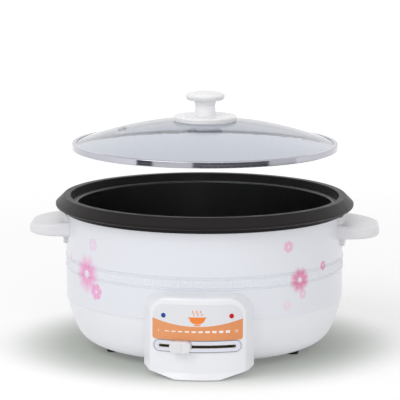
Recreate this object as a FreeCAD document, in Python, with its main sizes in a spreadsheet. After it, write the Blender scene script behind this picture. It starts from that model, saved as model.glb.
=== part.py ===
import FreeCAD, Part
import math
import os
import re

import Sketcher

Vector = FreeCAD.Vector

# Driving dimensions in millimetres and degrees. The pot's axis is Z, the floor is Z = 0
# and the control housing looks towards -Y.
SIZES = {
    # outer shell
    "potRadius": 141.5, "shellSpace": 13.0, "shellWall": 2.0, "shellTop": 157.0, "seamHeight": 57.5,
    "bandDrop": 52.5, "bandTall": 13.5, "beadProud": 0.7, "beadWidth": 1.1, "beadPitch": 2.0,
    # base bowl under the seam
    "seamStep": 1.0, "baseWall": 2.5, "bendDraw": 11.5, "bendHeight": 24.0, "bottomDraw": 32.5,
    "bottomHeight": 6.5, "sideArc": 125.0, "cornerArc": 31.0, "landWide": 20.0,
    # heat-proof ring round the opening
    "rimRise": 13.5, "rimFlatWide": 7.5, "rimOverhang": 11.8, "wideRise": 4.8, "rimEdge": 1.6,
    "underRise": 1.0, "rimLip": 1.7, "trimPly": 1.7, "trimDrop": 4.0, "ledgeRise": 3.5,
    "ledgeWide": 7.1, "rimSlope": 1.4, "rimSoft": 0.8,
    # lift-out cooking pot
    "potWall": 2.2, "potUnder": 74.0, "potCorner": 18.0, "potFlange": 2.0, "potRoll": 2.0,
    "potGap": 0.5, "seatGap": 0.3,
    # heater
    "plateInset": 35.5, "plateThick": 8.0, "elementInset": 28.0, "elementTube": 4.2,
    "elementSpan": 316.0, "pinRadius": 2.0, "pinLength": 15.7, "pinGap": 2.0,
    "reflectorDrop": 8.9, "reflectorThick": 0.8, "reflectorMargin": 10.0, "reflectorFlare": 12.0,
    "reflectorRise": 9.0, "spacerRadius": 4.0, "spacerInset": 20.0, "postRadius": 5.0,
    "postInset": 12.0,
    # bottom pan, feet
    "panInset": 8.0, "panThick": 1.2, "ventLength": 26.0, "ventWidth": 4.0, "ventInset": 56.0,
    "footInset": 12.0, "footTurn": 25.0, "footRadius": 7.5, "footDraft": 1.0,
    "footRecess": 3.6, "footRecessDeep": 3.0, "screwRadius": 1.8, "screwHead": 3.2,
    "headThick": 2.0,
    # control housing
    "pivotInset": 76.5, "faceRadius": 108.0, "faceHalf": 51.0, "rootHalf": 59.0, "rootInset": 14.5,
    "backInset": 36.5, "housingLow": 8.0, "housingTop": 89.0, "housingWall": 2.5,
    "shoulderRadius": 19.0, "faceRounding": 3.0, "chinLow": 0.9, "chinProud": 4.0,
    "chinHalf": 22.0, "chinRootHalf": 53.0, "chinSag": 1.2, "chinRounding": 0.8,
    "bossRadius": 4.0, "bossHalf": 38.0, "bossInset": 4.5, "bossTop": 34.0, "ribThick": 2.0,
    # face of the control housing
    "plateHalf": 48.0, "plateTop": 82.0, "plateLow": 43.6, "plateShoulder": 14.0,
    "plateCorner": 3.0, "platePly": 0.4, "plateGap": 0.05,
    "slotHeight": 37.0, "slotHalf": 40.0, "slotTall": 3.6, "bezelHalf": 47.5, "bezelTall": 12.0,
    "bezelPly": 1.0, "faceSlotTall": 7.0, "railThick": 0.8, "railTall": 2.4,
    "ribClear": 0.8,
    "lampHalf": 36.0, "lampHeight": 69.6, "lampRadius": 2.5, "lampLength": 7.0,
    "lampProud": 0.9, "neonRadius": 2.2, "neonLength": 10.0,
    # lever, its knob and the thermostat that it turns
    "leverRest": -9.0, "leverThick": 1.6, "leverWide": 6.0, "leverEye": 8.0, "leverPast": 6.5,
    "spindleRadius": 3.0, "spindleRise": 12.0, "runningGap": 0.05, "knobGap": 0.6,
    "knobDeep": 7.8, "knobWide": 23.0, "knobTall": 12.6, "knobCorner": 5.5, "ridgeWide": 4.0,
    "ridgeProud": 1.2, "knobRounding": 1.2,
    "thermostatWide": 32.0, "thermostatDeep": 28.0, "thermostatGap": 3.0, "bracketThick": 1.2,
    "bracketWide": 52.0, "bracketDeep": 18.0, "doorHalf": 35.0, "doorLow": 29.0, "doorTall": 17.0,
    # handles
    "handleGrip": 40.2, "handleDrop": 12.0, "handleThick": 17.5, "tipFall": 6.0, "tipRise": 1.0,
    "tipCorner": 30.0, "gripHalf": 45.0, "handleRounding": 4.0, "gripFillet": 6.0, "bracketEdge": 2.0,
    "bracketDrop": 4.5, "bracketHang": 11.0, "bracketPly": 3.5, "bracketTopHalf": 42.5,
    "bracketLowHalf": 26.0, "handleScrewHalf": 16.0, "handleScrewLength": 14.0,
    "screwSeat": 1.4,
    # mains inlet at the back
    "inletHeight": 31.0, "inletWide": 34.0, "inletTall": 22.0, "inletInset": 5.0,
    "inletDeep": 26.0, "inletWall": 3.0, "inletRecess": 17.0, "inletPinRadius": 2.0,
    "inletPinHalf": 6.5, "inletPinLength": 26.0, "cutGap": 0.2,
    # wiring
    "blockWide": 40.0, "blockDeep": 20.0, "blockTall": 13.0, "blockInset": 2.0,
    "wireRadius": 1.2, "wireRun": 14.0, "fuseRadius": 2.6, "fuseLength": 20.0, "fuseOut": 34.0,
    "clipThick": 0.8,
    # lid
    "lidLift": 51.5, "lidGap": 2.0, "rimTall": 6.8, "rimSteel": 0.8, "rimCatch": 4.5,
    "rimRounding": 0.7, "glassPly": 4.0, "glassRise": 26.5, "knobHole": 4.0,
    "ventRadius": 92.0, "ventTurn": 184.0, "eyeletBore": 1.8, "eyeletFlange": 2.6, "eyeletWall": 0.7,
    "collarRadius": 35.3, "collarTall": 5.5, "collarRounding": 2.0, "collarRelief": 0.3,
    "neckRadius": 12.2, "neckWaist": 11.4, "neckTall": 17.5, "neckFlare": 1.6, "capRadius": 22.0,
    "capTall": 10.0, "capRounding": 5.0, "capCrown": 2.2, "knobBoreDeep": 18.0,
    "knobScrewRadius": 2.5, "knobScrewHead": 5.5, "washerRadius": 16.0, "washerThick": 1.6,
}

# Dimensions that follow from those
FOLLOWING = {
    "shellRadius": "potRadius + shellSpace",
    "bandTop": "shellTop - bandDrop",
    "bandBottom": "bandTop - bandTall",
    "bendRadius": "shellRadius - bendDraw",
    "bottomRadius": "shellRadius - bottomDraw",
    "landInner": "bottomRadius - landWide",
    "ledgeOuter": "potRadius + ledgeWide",
    "rimInner": "ledgeOuter + rimSlope",
    "rimFlat": "rimInner + rimFlatWide",
    "rimOuter": "shellRadius + rimOverhang",
    "trimRadius": "shellRadius + trimPly",
    "rimTop": "shellTop + rimRise",
    "rimWide": "shellTop + wideRise",
    "rimUnder": "shellTop + underRise",
    "trimLow": "shellTop - trimDrop",
    "ledgeHeight": "shellTop + ledgeRise",
    "plateRadius": "potRadius - plateInset",
    "elementRing": "plateRadius - elementInset",
    "reflectorFlat": "plateRadius + reflectorMargin",
    "reflectorRim": "reflectorFlat + reflectorFlare",
    "spacerRing": "elementRing - spacerInset",
    "postRing": "plateRadius - postInset",
    "panRadius": "bottomRadius - panInset",
    "ventRing": "panRadius - ventInset",
    "footRing": "bottomRadius - footInset",
    "pivotOut": "shellRadius - pivotInset",
    "rootOut": "shellRadius - rootInset",
    "backOut": "shellRadius - backInset",
    "bossOut": "shellRadius - bossInset",
    "leverReach": "faceRadius + leverPast",
    "knobBack": "faceRadius + bezelPly + knobGap",
    "knobFront": "knobBack + knobDeep",
    "handleReach": "shellRadius + handleGrip",
    "handleTop": "shellTop - handleDrop",
    "handleLow": "handleTop - handleThick",
    "handleTipTop": "handleTop - tipFall",
    "handleTipLow": "handleLow + tipRise",
    "bracketTop": "shellTop - bracketDrop",
    "bracketLow": "handleLow - bracketHang",
    "handleScrewHeight": "(handleTop + handleLow) / 2",
    "inletOut": "shellRadius - inletInset",
    "blockBack": "elementRing - blockInset",
    "lidHover": "rimTop + lidLift",
    "lidRadius": "rimInner - lidGap",
}

doc = FreeCAD.newDocument("HotPot")
sheet = doc.addObject("Spreadsheet::Sheet", "Sizes")
entries = {name: str(value) for name, value in SIZES.items()}
entries.update({name: "=" + formula for name, formula in FOLLOWING.items()})
for row, name in enumerate(entries, start=1):
    sheet.set("A%d" % row, name)
    sheet.setAlias("B%d" % row, name)
for row, value in enumerate(entries.values(), start=1):
    sheet.set("B%d" % row, value)
doc.recompute()

nodes = {}


# Expressions and placement

def bound(text):
    # the same expression with every driving dimension read from the sheet
    def bind(found):
        return "Sizes." + found[0] if found[0] in entries else found[0]

    return re.sub(r"[A-Za-z]\w*", bind, text)


def worth(text):
    return float(sheet.evalExpression(bound(text)))


def place(item, x="0", y="0", z="0", turn=None, axis=(0, 0, 1)):
    if turn is not None:
        item.Placement = FreeCAD.Placement(Vector(), FreeCAD.Rotation(Vector(*axis), 1.0))
        item.setExpression("Placement.Rotation.Angle", bound(turn))
    for letter, text in zip("xyz", (x, y, z)):
        item.setExpression("Placement.Base." + letter, bound(text))
    return item


def keep(item, label):
    item.Label = label
    nodes[label] = item
    return item


# Sketches

def newBody(label):
    return doc.addObject("PartDesign::Body", label)


def sketchOn(body, name, role, lift=None):
    plane = next(item for item in body.Origin.OriginFeatures if item.Role == role)
    sketch = body.newObject("Sketcher::SketchObject", name)
    sketch.AttachmentSupport = [(plane, "")]
    sketch.MapMode = "FlatFace"
    if lift is not None:
        sketch.setExpression("AttachmentOffset.Base.z", bound(lift))
    return sketch


def tie(sketch, kind, geometry, end, text):
    # distance of a point from the sketch's origin along one axis, bound to the sheet
    if text == "0":
        axis = -2 if kind == "DistanceX" else -1
        sketch.addConstraint(Sketcher.Constraint("PointOnObject", geometry, end, axis))
        return
    number = sketch.addConstraint(Sketcher.Constraint(kind, -1, 1, geometry, end, worth(text)))
    sketch.setExpression("Constraints[%d]" % number, bound(text))


def arcBetween(start, end, radius):
    # a radius above zero bulges to the right of the way from start to end
    chord = end - start
    half = chord.Length / 2
    across = Vector(chord.y, -chord.x, 0).normalize()
    drop = math.sqrt(max(radius * radius - half * half, 0.0))
    side = 1 if radius > 0 else -1
    centre = (start + end) * 0.5 - across * (side * drop)
    middle = centre + across * (side * abs(radius))
    return Part.Arc(start, middle, end)


def isHalfCircle(start, end, radius):
    return abs(abs(radius) - start.distanceToPoint(end) / 2) < 1e-6


def outline(sketch, steps):
    # closed outline through steps of (across, up) or (across, up, radius of the arc that leads there)
    corners = [Vector(worth(step[0]), worth(step[1]), 0) for step in steps]
    lines = []
    for index, step in enumerate(steps):
        start = corners[index - 1]
        if len(step) == 3:
            geometry = sketch.addGeometry(arcBetween(start, corners[index], worth(step[2])), False)
            ends = (1, 2) if sketch.getPoint(geometry, 1).distanceToPoint(start) < 1e-6 else (2, 1)
        else:
            geometry = sketch.addGeometry(Part.LineSegment(start, corners[index]), False)
            ends = (1, 2)
        lines.append((geometry, ends))
    for index, step in enumerate(steps):
        geometry, ends = lines[index]
        following, followingEnds = lines[(index + 1) % len(steps)]
        meet = Sketcher.Constraint("Coincident", geometry, ends[1], following, followingEnds[0])
        sketch.addConstraint(meet)
        tie(sketch, "DistanceX", geometry, ends[1], step[0])
        tie(sketch, "DistanceY", geometry, ends[1], step[1])
        if len(step) == 3 and isHalfCircle(corners[index - 1], corners[index], worth(step[2])):
            sketch.addConstraint(Sketcher.Constraint("Symmetric", geometry, 1, geometry, 2, geometry, 3))
        elif len(step) == 3:
            number = sketch.addConstraint(Sketcher.Constraint("Radius", geometry, abs(worth(step[2]))))
            sketch.setExpression("Constraints[%d]" % number, "abs(%s)" % bound(step[2]))
    return sketch


def circle(sketch, x, y, radius):
    centre = Vector(worth(x), worth(y), 0)
    geometry = sketch.addGeometry(Part.Circle(centre, Vector(0, 0, 1), worth(radius)), False)
    tie(sketch, "DistanceX", geometry, 3, x)
    tie(sketch, "DistanceY", geometry, 3, y)
    number = sketch.addConstraint(Sketcher.Constraint("Radius", geometry, worth(radius)))
    sketch.setExpression("Constraints[%d]" % number, bound(radius))
    return sketch


def block(left, right, low, high):
    return [(right, low), (right, high), (left, high), (left, low)]


def rounded(left, right, low, high, radius):
    # rectangle whose corners are quarter arcs
    return [
        ("%s - %s" % (right, radius), low),
        (right, "%s + %s" % (low, radius), radius),
        (right, "%s - %s" % (high, radius)),
        ("%s - %s" % (right, radius), high, radius),
        ("%s + %s" % (left, radius), high),
        (left, "%s - %s" % (high, radius), radius),
        (left, "%s + %s" % (low, radius)),
        ("%s + %s" % (left, radius), low, radius),
    ]


# Features

def revolve(body, steps, span="360", name="Turned"):
    sketch = outline(sketchOn(body, name + "Profile", "XZ_Plane"), steps)
    turned = body.newObject("PartDesign::Revolution", name)
    turned.Profile = sketch
    turned.ReferenceAxis = (sketch, ["V_Axis"])
    turned.setExpression("Angle", bound(span))
    doc.recompute()
    return turned


def turnedBody(label, steps, span="360"):
    body = newBody(label)
    revolve(body, steps, span)
    return body


def extrude(body, sketch, length, kind="Pad", both=False, back=False, name=None):
    before = body.Shape.Volume if not body.Shape.isNull() else 0.0
    feature = body.newObject("PartDesign::" + kind, name or kind)
    feature.Profile = sketch
    feature.SideType = "Symmetric" if both else "One side"
    feature.Reversed = back
    if length is None:
        feature.Type = "ThroughAll"
    else:
        feature.setExpression("Length", bound(length))
    doc.recompute()
    after = body.Shape.Volume
    if kind == "Pocket" and after > before - 1e-3:
        raise ValueError("%s cut nothing from %s" % (feature.Name, body.Label))
    return feature


def paddedBody(label, role, steps, length, lift=None, both=False):
    body = newBody(label)
    sketch = outline(sketchOn(body, label + "Outline", role, lift), steps)
    extrude(body, sketch, length, both=both)
    return body


def edgesWhere(feature, test):
    return ["Edge%d" % (index + 1) for index, edge in enumerate(feature.Shape.Edges) if test(edge)]


def roundOff(body, radius, test, name="Rounded"):
    base = body.Tip
    names = edgesWhere(base, test)
    if not names:
        raise ValueError("no edge to round on " + body.Label)
    fillet = body.newObject("PartDesign::Fillet", name)
    fillet.Base = (base, names)
    fillet.setExpression("Radius", bound(radius))
    doc.recompute()
    return fillet


def polar(body, feature, count, name="Repeated"):
    pattern = body.newObject("PartDesign::PolarPattern", name)
    pattern.Originals = [feature]
    axis = next(item for item in body.Origin.OriginFeatures if item.Role == "Z_Axis")
    pattern.Axis = (axis, [""])
    pattern.Angle = 360
    pattern.Occurrences = count
    body.Tip = pattern
    doc.recompute()
    return pattern


def combine(kind, label, base, tool):
    item = doc.addObject("Part::" + kind, label)
    item.Base = base
    item.Tool = tool
    doc.recompute()
    return item


def cylinder(label, radius, length, **where):
    item = doc.addObject("Part::Cylinder", label)
    item.setExpression("Radius", bound(radius))
    item.setExpression("Height", bound(length))
    return place(item, **where)


def box(label, wide, deep, tall, x, y, z):
    # a box centred on x and y, standing on z
    item = doc.addObject("Part::Box", label)
    item.setExpression("Length", bound(wide))
    item.setExpression("Width", bound(deep))
    item.setExpression("Height", bound(tall))
    return place(item, "%s - (%s) / 2" % (x, wide), "%s - (%s) / 2" % (y, deep), z)


def group(label, items):
    item = doc.addObject("Part::Compound", label)
    item.Links = items
    doc.recompute()
    return keep(item, label)


def screw(label, length, head="screwHead", shank="screwRadius"):
    # pan-head screw that points up from the underside of its head
    body = turnedBody(label, [
        ("0", "-headThick"), (head, "-headThick"), (head, "0"), (shank, "0"), (shank, length), ("0", length),
    ])
    return body


# Outer shell, base bowl and rim

def makeShell():
    wallFace = "shellRadius"
    proud = "shellRadius + beadProud"
    steps = [("shellRadius - shellWall", "seamHeight"), (wallFace, "seamHeight")]
    for low in ("bandBottom", "bandBottom + beadPitch", "bandTop - beadPitch", "bandTop"):
        middle = "%s + beadWidth / 2" % low
        steps += [(wallFace, low), (proud, middle), (wallFace, "%s + beadWidth" % low)]
    steps += [(wallFace, "shellTop"), ("shellRadius - shellWall", "shellTop")]
    body = turnedBody("body_shell", steps)
    for side in ("-handleScrewHalf", "handleScrewHalf"):
        hole = circle(sketchOn(body, "HandleHole", "YZ_Plane"), side, "handleScrewHeight", "screwRadius")
        extrude(body, hole, "shellRadius * 3", "Pocket", both=True, name="HandleHoleCut")
    return keep(body, "body_shell")


def bowlOutline(grow):
    # outside of the base bowl from its bottom edge to the seam, moved out by grow
    return [
        ("bottomRadius", "bottomHeight - " + grow),
        ("bendRadius + %s * 0.85" % grow, "bendHeight - %s * 0.5" % grow, "cornerArc"),
        ("shellRadius - seamStep + " + grow, "seamHeight", "sideArc"),
    ]


def makeBase():
    inner = "shellRadius - seamStep - baseWall"
    steps = [("landInner", "bottomHeight")]
    steps += bowlOutline("0")
    steps += [
        (inner, "seamHeight"),
        ("bendRadius - baseWall", "bendHeight + baseWall * 0.5", "-(sideArc - baseWall)"),
        ("bottomRadius", "bottomHeight + baseWall", "-(cornerArc - baseWall)"),
        ("landInner", "bottomHeight + baseWall"),
    ]
    body = turnedBody("base_shell", steps)
    lever = outline(sketchOn(body, "LeverDoor", "XZ_Plane"),
                    block("-doorHalf", "doorHalf", "doorLow", "doorLow + doorTall"))
    extrude(body, lever, None, "Pocket", back=True, name="LeverDoorCut")
    reach = "inletWide / 2 + cutGap"
    inlet = outline(sketchOn(body, "InletDoor", "XZ_Plane"),
                    block("-(%s)" % reach, reach, "inletHeight - inletTall / 2 - cutGap",
                          "inletHeight + inletTall / 2 + cutGap"))
    extrude(body, inlet, None, "Pocket", back=False, name="InletDoorCut")
    for turn in footAngles():
        hole = circle(sketchOn(body, "FootHole", "XY_Plane"), "footRing * cos(%s)" % turn,
                      "footRing * sin(%s)" % turn, "screwRadius")
        extrude(body, hole, "bottomHeight + baseWall + 1", "Pocket", back=True, name="FootHoleCut")
    return keep(body, "base_shell")


def makeRim():
    body = turnedBody("rim_ring", [
        ("potRadius + potWall + potGap", "shellTop"),
        ("shellRadius", "shellTop"),
        ("shellRadius", "trimLow"),
        ("trimRadius", "trimLow"),
        ("trimRadius", "rimUnder"),
        ("rimOuter - rimLip", "rimUnder"),
        ("rimOuter", "rimWide - rimEdge", "rimLip * 1.6"),
        ("rimOuter", "rimWide"),
        ("rimFlat", "rimTop"),
        ("rimInner", "rimTop"),
        ("ledgeOuter", "ledgeHeight"),
        ("potRadius + potWall + potGap", "ledgeHeight"),
    ])
    roundOff(body, "rimSoft", lambda edge: atHeight(edge, worth("rimTop")))
    return keep(body, "rim_ring")


def atHeight(edge, height):
    bounds = edge.BoundBox
    return abs(bounds.ZMin - height) < 1e-4 and abs(bounds.ZMax - height) < 1e-4


# Lift-out pot

def makePot():
    top = "ledgeHeight + potFlange"
    floor = "potUnder + potWall"
    outer = "potRadius + potWall"
    body = turnedBody("inner_pot", [
        ("0", "potUnder"),
        ("potRadius - potCorner", "potUnder"),
        (outer, "potUnder + potCorner + potWall", "potCorner + potWall"),
        (outer, "ledgeHeight"),
        ("ledgeOuter - potGap", "ledgeHeight"),
        ("ledgeOuter - potGap", top),
        ("potRadius + potRoll", top),
        ("potRadius", top + " - potRoll", "potRoll"),
        ("potRadius", floor + " + potCorner"),
        ("potRadius - potCorner", floor, "-potCorner"),
        ("0", floor),
    ])
    return keep(body, "inner_pot")


# Heater and what carries it

def heaterLevels():
    under = "potUnder - seatGap - plateThick"
    reflector = under + " - reflectorDrop"
    return under, reflector


def makeHeater():
    under, reflector = heaterLevels()
    plate = turnedBody("heater_plate", [
        ("0", under),
        ("elementRing - elementTube", under),
        ("elementRing + elementTube", under, "-elementTube"),
        ("plateRadius", under),
        ("plateRadius", under + " + plateThick"),
        ("0", under + " + plateThick"),
    ])
    keep(plate, "heater_plate")

    element = newBody("heater_element_ring")
    profile = circle(sketchOn(element, "TubeSection", "XZ_Plane"), "elementRing", under, "elementTube")
    ring = element.newObject("PartDesign::Revolution", "Tube")
    ring.Profile = profile
    ring.ReferenceAxis = (profile, ["V_Axis"])
    ring.setExpression("Angle", bound("elementSpan"))
    place(element, turn="270 - elementSpan / 2 + 180")
    doc.recompute()
    rest = element
    for number, turn in enumerate(pinAngles()):
        pin = cylinder("heater_pin", "pinRadius", "pinLength", x="elementRing * cos(%s)" % turn,
                       y="elementRing * sin(%s)" % turn, z=under + " - pinLength")
        rest = combine("Fuse", "heater_element_%d" % number, rest, pin)
    keep(rest, "heater_element")

    low = reflector
    high = reflector + " + reflectorThick"
    dish = turnedBody("heat_reflector", [
        ("0", low),
        ("reflectorFlat", low),
        ("reflectorRim", low + " + reflectorRise"),
        ("reflectorRim - reflectorThick", low + " + reflectorRise"),
        ("reflectorFlat - reflectorThick / 2", high),
        ("0", high),
    ])
    for turn in pinAngles():
        hole = circle(sketchOn(dish, "PinHole", "XY_Plane"), "elementRing * cos(%s)" % turn,
                      "elementRing * sin(%s)" % turn, "pinRadius + pinGap")
        extrude(dish, hole, None, "Pocket", back=True, name="PinHoleCut")
    keep(dish, "heat_reflector")

    floor = "bottomHeight + baseWall + panThick"
    posts = []
    for turn in ("90", "210", "330"):
        posts.append(cylinder("post", "postRadius", "%s - (%s)" % (reflector, floor),
                              x="postRing * cos(%s)" % turn, y="postRing * sin(%s)" % turn, z=floor))
    group("reflector_posts", posts)
    spacers = []
    for turn in ("30", "150", "270"):
        spacers.append(cylinder("spacer", "spacerRadius", "reflectorDrop - reflectorThick",
                                x="spacerRing * cos(%s)" % turn, y="spacerRing * sin(%s)" % turn, z=high))
    group("plate_spacers", spacers)


def pinAngles():
    # the tube's two cold ends, side by side at the back
    return ["90 - (360 - elementSpan) / 2", "90 + (360 - elementSpan) / 2"]


# Bottom pan and feet

def footAngles():
    return ["-footTurn", "footTurn", "180 - footTurn", "180 + footTurn"]


def makePan():
    floor = "bottomHeight + baseWall"
    body = turnedBody("base_pan", [
        ("0", floor), ("panRadius", floor), ("panRadius", floor + " + panThick"),
        ("0", floor + " + panThick"),
    ])
    slot = outline(sketchOn(body, "VentOutline", "XY_Plane"), [
        ("ventRing + ventLength / 2", "-ventWidth / 2"),
        ("ventRing + ventLength / 2", "ventWidth / 2", "ventWidth / 2"),
        ("ventRing - ventLength / 2", "ventWidth / 2"),
        ("ventRing - ventLength / 2", "-ventWidth / 2", "ventWidth / 2"),
    ])
    cut = extrude(body, slot, None, "Pocket", back=True, name="VentCut")
    polar(body, cut, 12, "Vents")
    for turn in footAngles():
        hole = circle(sketchOn(body, "ScrewHole", "XY_Plane"), "footRing * cos(%s)" % turn,
                      "footRing * sin(%s)" % turn, "screwRadius")
        extrude(body, hole, None, "Pocket", back=True, name="ScrewHoleCut")
    return keep(body, "base_pan")


def makeFeet():
    names = ["foot_front_right", "foot_back_right", "foot_back_left", "foot_front_left"]
    screws = []
    for name, turn in zip(names, footAngles()):
        foot = turnedBody(name, [
            ("screwRadius", "footRecessDeep"),
            ("footRecess", "footRecessDeep"),
            ("footRecess", "0"),
            ("footRadius - footDraft", "0"),
            ("footRadius", "bottomHeight"),
            ("screwRadius", "bottomHeight"),
        ])
        spot = {"x": "footRing * cos(%s)" % turn, "y": "footRing * sin(%s)" % turn}
        keep(place(foot, **spot), name)
        length = "bottomHeight + baseWall + panThick + 3 - footRecessDeep"
        screws.append(place(screw("foot_screw", length), z="footRecessDeep", **spot))
    group("foot_screws", screws)


# Control housing

def housingBlock(label, inset, low, high):
    # solid inside of the moulding: front face curved about the lever's pivot, sides that flare
    # towards the pot, rounded shoulders
    face = "(faceHalf - %s)" % inset
    radius = "(faceRadius - %s)" % inset
    front = "-(pivotOut + sqrt(%s * %s - %s * %s))" % (radius, radius, face, face)
    root = "(rootHalf - %s)" % inset
    steps = [
        (root, "-rootOut"),
        (root, "-backOut"),
        ("-" + root, "-backOut"),
        ("-" + root, "-rootOut"),
        ("-" + face, front),
        (face, front, radius),
    ]
    body = paddedBody(label, "XY_Plane", steps, "%s - (%s)" % (high, low), lift=low)
    top = worth(high)

    def shoulder(edge):
        bounds = edge.BoundBox
        return atHeight(edge, top) and bounds.XMax - bounds.XMin < worth("rootHalf") and abs(
            bounds.Center.x) > 10 and bounds.YMin < -worth("backOut") - 1

    roundOff(body, "shoulderRadius - " + inset, shoulder)
    return body


def potEnvelope(label):
    # everything inside the outer face of the shell and the bowl
    steps = [("0", "bottomHeight")]
    steps += bowlOutline("0")
    steps += [
        ("shellRadius", "seamHeight"),
        ("shellRadius", "bandBottom"),
        ("0", "bandBottom"),
    ]
    return turnedBody(label, steps)


def makeHousing():
    outer = housingBlock("housing_outside", "0", "housingLow", "housingTop")

    def frontRim(edge):
        bounds = edge.BoundBox
        return bounds.YMax < -worth("rootOut") - 2 and bounds.ZMax > worth("housingLow") + 1

    roundOff(outer, "faceRounding", frontRim, "FaceRounding")
    inner = housingBlock("housing_inside", "housingWall", "housingLow - 1", "housingTop - housingWall")
    hollow = combine("Cut", "housing_hollow", outer, inner)
    for side in ("-bossHalf", "bossHalf"):
        boss = cylinder("housing_boss", "bossRadius", "bossTop - housingLow", x=side,
                        y="-bossOut", z="housingLow")
        bore = cylinder("housing_boss_bore", "screwRadius", "bossTop", x=side,
                        y="-bossOut", z="housingLow - 1")
        ring = combine("Cut", "housing_boss_ring", boss, bore)
        hollow = combine("Fuse", "housing_with_boss", hollow, ring)
        hollow = combine("Fuse", "housing_with_rib", hollow, bossRib(side))
    fitted = combine("Cut", "housing_fitted", hollow, potEnvelope("pot_envelope"))

    slotCut = newBody("housing_slot")
    tall = "faceSlotTall / 2"
    sketch = outline(sketchOn(slotCut, "SlotOutline", "XZ_Plane", "faceRadius * 0.6 + pivotOut"), [
        ("slotHalf", "slotHeight - " + tall),
        ("slotHalf", "slotHeight + " + tall, tall),
        ("-slotHalf", "slotHeight + " + tall),
        ("-slotHalf", "slotHeight - " + tall, tall),
    ])
    extrude(slotCut, sketch, "faceRadius")
    opened = combine("Cut", "housing_slotted", fitted, slotCut)
    for side in ("-1", "1"):
        tool = radialCylinder("lamp_bore", "lampRadius", "faceRadius - lampLength - 4", "30", side)
        opened = combine("Cut", "housing_bored", opened, tool)
    return keep(opened, "control_housing")


def bossRib(side):
    # web that ties a screw boss to the front wall and ends below the lower slot rail
    front = "sqrt(faceRadius * faceRadius - bossHalf * bossHalf) + pivotOut - housingWall / 2"
    reach = "(%s - bossOut - screwRadius - 1)" % front
    middle = "-(bossOut + screwRadius + 1 + %s / 2)" % reach
    top = "slotHeight - slotTall / 2 - railTall - ribClear"
    return box("housing_rib", "ribThick", reach, top + " - housingLow", side, middle, "housingLow")


def radialCylinder(label, radius, start, length, side):
    # cylinder along the face's radius at a lamp, from a distance start off the pivot
    turn = "asin(lampHalf / faceRadius) * %s" % side
    item = doc.addObject("Part::Cylinder", label)
    item.setExpression("Radius", bound(radius))
    item.setExpression("Height", bound(length))
    lean = math.radians(worth(turn))
    upright = FreeCAD.Rotation(Vector(1, 0, 0), 90)
    aside = FreeCAD.Rotation(Vector(0, 0, 1), math.degrees(lean))
    item.Placement = FreeCAD.Placement(Vector(), aside * upright)
    across = "(%s) * sin(%s)" % (start, turn)
    return place(item, across, "-pivotOut - (%s) * cos(%s)" % (start, turn), "lampHeight")


def makeChin():
    # closes the housing's underside: the housing's own plan above, drawn in to a faceted foot
    body = newBody("housing_base_blank")
    face = "(faceHalf - 1.2)"
    front = "-(pivotOut + sqrt(faceRadius * faceRadius - %s * %s))" % (face, face)
    upper = outline(sketchOn(body, "UpperPlan", "XY_Plane", "housingLow"), [
        ("rootHalf", "-rootOut"),
        ("rootHalf", "-backOut"),
        ("-rootHalf", "-backOut"),
        ("-rootHalf", "-rootOut"),
        ("-" + face, front),
        (face, front, "faceRadius"),
    ])
    tip = "-(pivotOut + faceRadius + chinProud - chinSag)"
    lower = outline(sketchOn(body, "LowerPlan", "XY_Plane", "chinLow"), [
        ("chinRootHalf", "-rootOut"),
        ("chinRootHalf", "-backOut"),
        ("-chinRootHalf", "-backOut"),
        ("-chinRootHalf", "-rootOut"),
        ("-chinHalf", tip),
        ("chinHalf", tip, domeRadius("chinSag", "chinHalf")),
    ])
    loft = body.newObject("PartDesign::AdditiveLoft", "Drawn")
    loft.Profile = upper
    loft.Sections = [lower]
    loft.Ruled = True
    doc.recompute()
    low = worth("chinLow")
    front = -worth("rootOut") - 1
    roundOff(body, "chinRounding", lambda edge: atHeight(edge, low) and edge.BoundBox.YMin < front)
    for side in ("-bossHalf", "bossHalf"):
        hole = circle(sketchOn(body, "ScrewHole", "XY_Plane"), side, "-bossOut", "screwRadius")
        extrude(body, hole, "housingLow + 1", "Pocket", back=True, name="ScrewHoleCut")
        sink = circle(sketchOn(body, "HeadSink", "XY_Plane"), side, "-bossOut", "screwHead + cutGap")
        extrude(body, sink, "chinLow + headThick + 1", "Pocket", back=True, name="HeadSinkCut")
    fitted = combine("Cut", "housing_base_fitted", body, potEnvelope("pot_envelope_low"))
    keep(fitted, "housing_base")
    screws = []
    for side in ("-bossHalf", "bossHalf"):
        screws.append(place(screw("housing_screw", "bossTop - housingLow - 6"), x=side, y="-bossOut",
                            z="chinLow + headThick + 1"))
    group("housing_screws", screws)


def facePly(label, steps, inner, outer):
    # a thin curved sheet on the housing's face: an outline seen from the front, cut out of a
    # sleeve that is centred on the lever's pivot
    sleeve = newBody(label + "_sleeve")
    ring = sketchOn(sleeve, "Sleeve", "XY_Plane", "0.1")
    circle(ring, "0", "-pivotOut", outer)
    circle(ring, "0", "-pivotOut", inner)
    extrude(sleeve, ring, "housingTop")
    blank = newBody(label + "_blank")
    front = sketchOn(blank, "Front", "XZ_Plane", "faceRadius * 0.6 + pivotOut")
    outline(front, steps)
    extrude(blank, front, "faceRadius")
    return combine("Common", label + "_sheet", sleeve, blank)


def stadium(half, tall):
    reach = "%s - %s / 2" % (half, tall)
    return [
        (reach, "slotHeight - %s / 2" % tall),
        (reach, "slotHeight + %s / 2" % tall, tall + " / 2"),
        ("-(%s)" % reach, "slotHeight + %s / 2" % tall),
        ("-(%s)" % reach, "slotHeight - %s / 2" % tall, tall + " / 2"),
    ]


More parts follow.
